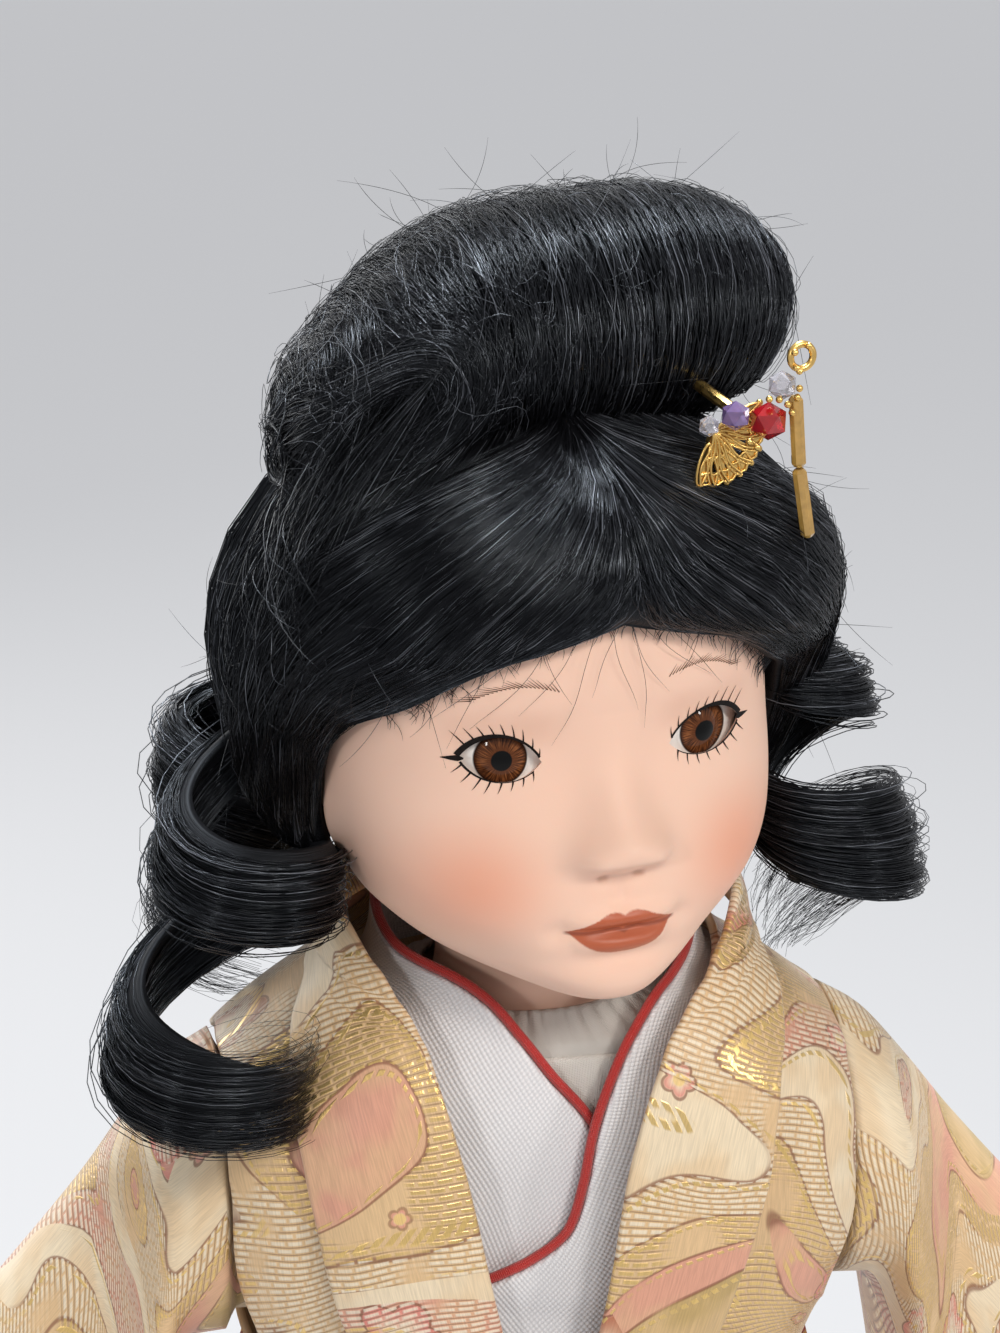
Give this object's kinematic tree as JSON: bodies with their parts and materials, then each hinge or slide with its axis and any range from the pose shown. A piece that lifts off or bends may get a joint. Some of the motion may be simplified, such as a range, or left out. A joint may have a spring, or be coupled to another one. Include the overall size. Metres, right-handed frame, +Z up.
{
  "type": "geisha doll",
  "caption": "Standing porcelain-headed geisha doll with glass eyes, black wig, hair ornament, wrapped brocade kimono and sash; head, arms and legs move.",
  "frame": {"origin": "on the floor at the middle of the kimono's hem, below the neck", "axes": "+Z up, the doll faces -Y, its own left is +X"},
  "size_m": [0.2588, 0.1319, 0.4236],
  "materials": {
    "bisque": "matte painted porcelain",
    "eye_glass": "polished",
    "hair": "smooth black wig fibre",
    "pate": "matte",
    "gold": "polished gold plate",
    "red_glass": "faceted",
    "violet_glass": "faceted",
    "clear_glass": "polished",
    "steel": "plain",
    "calico": "stuffed cotton",
    "white_silk": "satin weave",
    "red_silk": "satin cord",
    "brocade": "woven brocade",
    "sash": "woven brocade",
    "sandal": "lacquered"
  },
  "bodies": {
    "torso": {"shoulder_plate": "bisque", "cloth_body": "calico", "neck_washer": "steel", "neck_spring": "steel", "undershirt": "white_silk", "under_robe_right": "white_silk", "under_robe_left": "white_silk", "right_piping": "red_silk", "left_piping": "red_silk", "bodice_right": "brocade", "bodice_left": "brocade", "lapel_right": "brocade", "lapel_left": "brocade", "obi": "sash", "obi_bow": "sash", "obi_cord": "white_silk", "cord_bow": "white_silk", "skirt_back": "brocade", "skirt_right": "brocade", "skirt_left": "brocade"},
    "head": {"head_shell": "bisque", "crown_pate": "pate", "right_eye": "eye_glass", "left_eye": "eye_glass", "wig_cap": "hair", "wig_topknot": "hair", "right_front_curl": "hair", "left_front_curl": "hair", "right_back_curl": "hair", "left_back_curl": "hair", "nape_curl": "hair", "hairpin": "gold", "filigree_leaf": "gold", "red_bead": "red_glass", "violet_bead": "violet_glass", "clear_bead": "clear_glass", "gold_loop": "gold", "neck_bolt": "steel", "neck_nut": "steel"},
    "upper_dangle": {"upper_drop": "gold"},
    "lower_dangle": {"lower_drop": "gold"},
    "right_arm": {"right_upper_arm": "calico", "right_arm_wire": "steel", "right_sleeve": "brocade"},
    "right_hand": {"right_forearm": "bisque", "right_arm_tie": "calico"},
    "right_leg": {"right_thigh": "calico", "right_lower_leg": "bisque", "right_sandal_sole": "sandal", "right_sandal_thong": "red_silk"},
    "left_arm": {"left_upper_arm": "calico", "left_arm_wire": "steel", "left_sleeve": "brocade"},
    "left_hand": {"left_forearm": "bisque", "left_arm_tie": "calico"},
    "left_leg": {"left_thigh": "calico", "left_lower_leg": "bisque", "left_sandal_sole": "sandal", "left_sandal_thong": "red_silk"}
  },
  "joints": [
    {"name": "head_turn", "type": "hinge", "parent": "torso", "child": "head", "pos_m": [0, 0, 0.301], "axis": [0, 0, 1], "range_deg": [-30, 25]},
    {"name": "upper_dangle_swing", "type": "hinge", "parent": "head", "child": "upper_dangle", "pos_m": [0.03214, -0.0268, 0.40137], "axis": [-0.2079, 0.9781, 0], "range_deg": [-25, 3]},
    {"name": "lower_dangle_swing", "type": "hinge", "parent": "upper_dangle", "child": "lower_dangle", "pos_m": [0.03302, -0.02662, 0.39106], "axis": [-0.2079, 0.9781, 0], "range_deg": [-25, 3]},
    {"name": "right_shoulder_swing", "type": "hinge", "parent": "torso", "child": "right_arm", "pos_m": [-0.05, 0, 0.275], "axis": [-1, 0, 0], "range_deg": [-15, 60]},
    {"name": "right_elbow_bend", "type": "hinge", "parent": "right_arm", "child": "right_hand", "pos_m": [-0.0909, 0, 0.22626], "axis": [0, -1, 0], "range_deg": [-5, 20]},
    {"name": "right_hip_swing", "type": "hinge", "parent": "torso", "child": "right_leg", "pos_m": [-0.017, 0, 0.176], "axis": [-1, 0, 0], "range_deg": [-6, 6]},
    {"name": "left_shoulder_swing", "type": "hinge", "parent": "torso", "child": "left_arm", "pos_m": [0.05, 0, 0.275], "axis": [-1, 0, 0], "range_deg": [-15, 60]},
    {"name": "left_elbow_bend", "type": "hinge", "parent": "left_arm", "child": "left_hand", "pos_m": [0.0909, 0, 0.22626], "axis": [0, 1, 0], "range_deg": [-5, 20]},
    {"name": "left_hip_swing", "type": "hinge", "parent": "torso", "child": "left_leg", "pos_m": [0.017, 0, 0.176], "axis": [-1, 0, 0], "range_deg": [-6, 6]}
  ]
}
